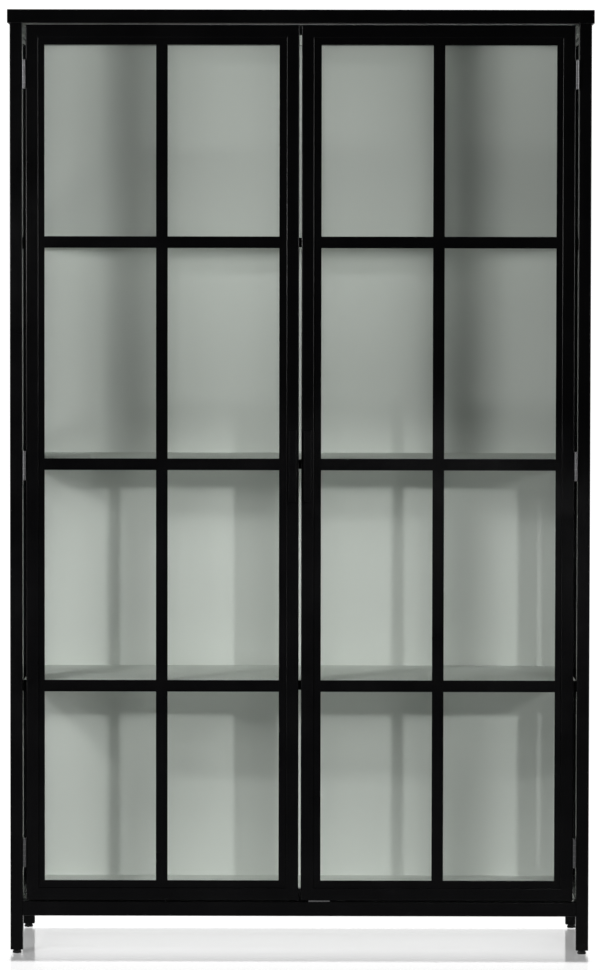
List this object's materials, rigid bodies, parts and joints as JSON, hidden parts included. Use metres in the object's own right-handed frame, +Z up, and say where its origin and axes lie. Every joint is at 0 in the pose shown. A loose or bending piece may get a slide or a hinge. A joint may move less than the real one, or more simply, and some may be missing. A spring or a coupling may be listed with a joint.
{
  "type": "display cabinet",
  "caption": "Tall free-standing display cabinet: black metal frame, glazed hinged doors with dividing bars, glass sides, light back and shelves, levelling feet.",
  "frame": {"origin": "middle of the floor area covered by the whole cabinet, at floor level", "axes": "+Z up, +Y towards the back, +X to the right of a person who faces the doors"},
  "size_m": [1.21, 0.447, 1.955],
  "materials": {
    "black_frame": "satin black powder coat",
    "light_panel": "light satin lacquer on board",
    "board_core": "black painted board",
    "glass": "clear float glass with a faint green tint",
    "handle": "satin black powder coat",
    "catch_plastic": "dark grey moulded plastic",
    "pad_plastic": "pale grey moulded plastic",
    "screw_steel": "blackened steel",
    "foot": "blackened steel"
  },
  "bodies": {
    "root": {"back_panel": "light_panel", "back_screws": "screw_steel", "ceiling_panel": "light_panel", "door_catches": "catch_plastic", "door_pad": "pad_plastic", "floor_panel": "light_panel", "frame_hinge_leaves": "black_frame", "frame_hinge_screws": "screw_steel", "front_base_rail": "black_frame", "hinge_pins": "screw_steel", "left_base_rail": "black_frame", "left_front_post": "black_frame", "left_rear_post": "black_frame", "left_side_bars": "black_frame", "left_side_glass": "glass", "left_top_rail": "black_frame", "lower_shelf": "light_panel", "middle_shelf": "light_panel", "rear_base_rail": "black_frame", "rear_cross_bars": "black_frame", "rear_top_rail": "black_frame", "right_base_rail": "black_frame", "right_front_post": "black_frame", "right_rear_post": "black_frame", "right_side_bars": "black_frame", "right_side_glass": "glass", "right_top_rail": "black_frame", "shelf_edge_trims": "black_frame", "shelf_ledgers": "black_frame", "side_glazing_beads": "black_frame", "top_cap": "black_frame", "top_core": "board_core", "upper_shelf": "light_panel", "wall_brackets": "black_frame"},
    "left_door": {"left_door_beads": "black_frame", "left_door_bottom_rail": "black_frame", "left_door_cross_bars": "black_frame", "left_door_glass": "glass", "left_door_handle": "handle", "left_door_hinge_leaves": "black_frame", "left_door_hinge_stile": "black_frame", "left_door_meeting_stile": "black_frame", "left_door_screws": "screw_steel", "left_door_top_rail": "black_frame", "left_door_upright_bar": "black_frame"},
    "right_door": {"right_door_beads": "black_frame", "right_door_bottom_rail": "black_frame", "right_door_cross_bars": "black_frame", "right_door_glass": "glass", "right_door_handle": "handle", "right_door_hinge_leaves": "black_frame", "right_door_hinge_stile": "black_frame", "right_door_meeting_stile": "black_frame", "right_door_screws": "screw_steel", "right_door_top_rail": "black_frame", "right_door_upright_bar": "black_frame"},
    "front_left_foot": {"front_left_foot": "foot"},
    "front_right_foot": {"front_right_foot": "foot"},
    "rear_left_foot": {"rear_left_foot": "foot"},
    "rear_right_foot": {"rear_right_foot": "foot"}
  },
  "joints": [
    {"name": "left_door_swing", "type": "hinge", "parent": "root", "child": "left_door", "pos_m": [-0.5704, -0.2055, 1.0145], "axis": [0, 0, -1], "range_deg": [0, 170]},
    {"name": "right_door_swing", "type": "hinge", "parent": "root", "child": "right_door", "pos_m": [0.5704, -0.2055, 1.0145], "axis": [0, 0, 1], "range_deg": [0, 170]},
    {"name": "front_left_foot_turn", "type": "hinge", "parent": "root", "child": "front_left_foot", "pos_m": [-0.587, -0.1885, 0], "axis": [0, 0, 1], "continuous": true},
    {"name": "front_right_foot_turn", "type": "hinge", "parent": "root", "child": "front_right_foot", "pos_m": [0.587, -0.1885, 0], "axis": [0, 0, 1], "continuous": true},
    {"name": "rear_left_foot_turn", "type": "hinge", "parent": "root", "child": "rear_left_foot", "pos_m": [-0.587, 0.2055, 0], "axis": [0, 0, 1], "continuous": true},
    {"name": "rear_right_foot_turn", "type": "hinge", "parent": "root", "child": "rear_right_foot", "pos_m": [0.587, 0.2055, 0], "axis": [0, 0, 1], "continuous": true}
  ]
}
